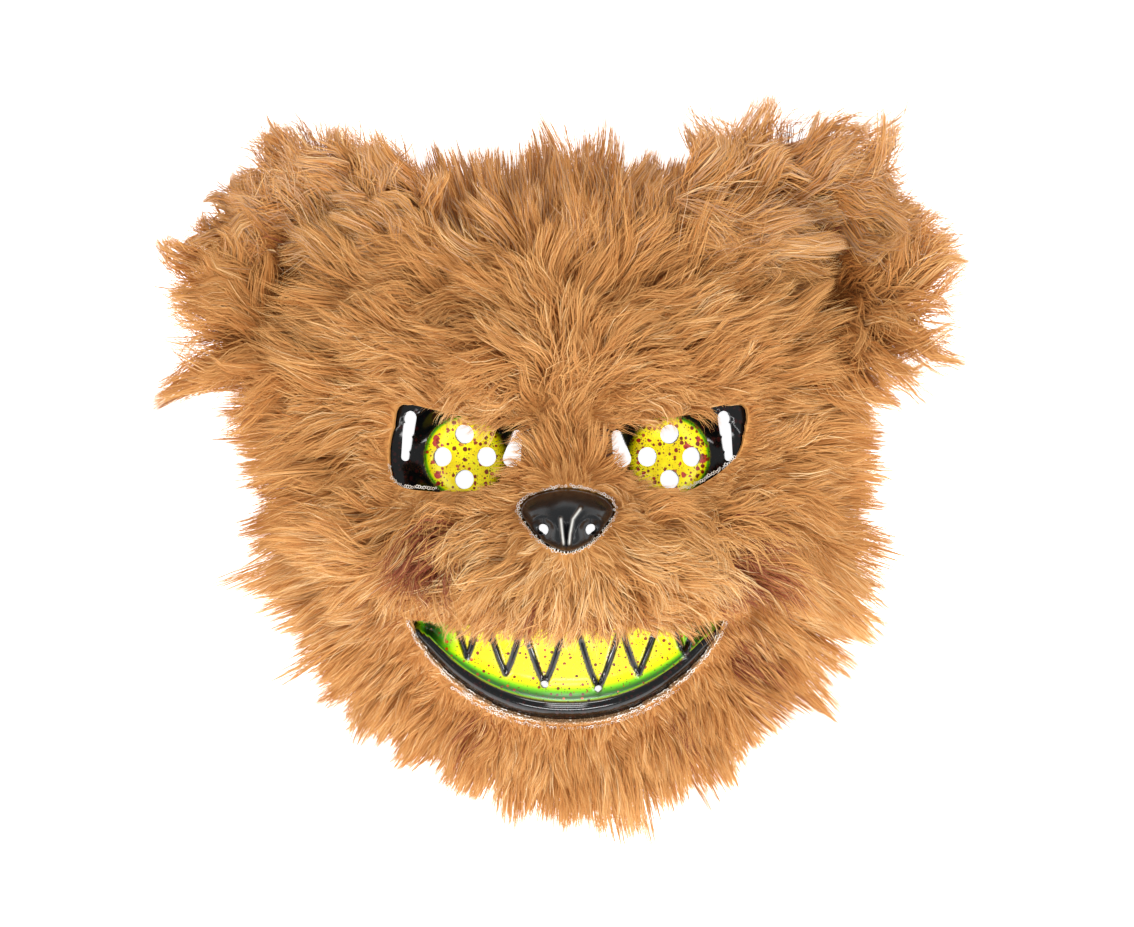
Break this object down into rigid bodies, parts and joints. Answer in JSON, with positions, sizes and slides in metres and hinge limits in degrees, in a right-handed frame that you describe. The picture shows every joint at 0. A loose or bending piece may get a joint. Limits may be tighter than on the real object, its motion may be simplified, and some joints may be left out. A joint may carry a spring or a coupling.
{
  "type": "furry bear face mask",
  "caption": "Furry bear face mask with round ears, a formed plastic eye, nose and toothed-grin shell, sight holes and an open back.",
  "frame": {"origin": "under the middle of the bounding box, on the surface that the rim rests on", "axes": "+Z out of the face, +Y from chin to crown, +X to the right of someone looking at the face"},
  "size_m": [0.3174, 0.2962, 0.1071],
  "materials": {
    "painted_shell": "gloss black with yellow, green and red paint",
    "long_pile_fur": "long camel-brown acrylic pile on a knitted backing",
    "ear_fur": "long camel-brown acrylic pile on a knitted backing"
  },
  "bodies": {
    "root": {"face_shell": "painted_shell", "fur_cover": "long_pile_fur", "ear_left": "ear_fur", "ear_right": "ear_fur"}
  },
  "joints": []
}
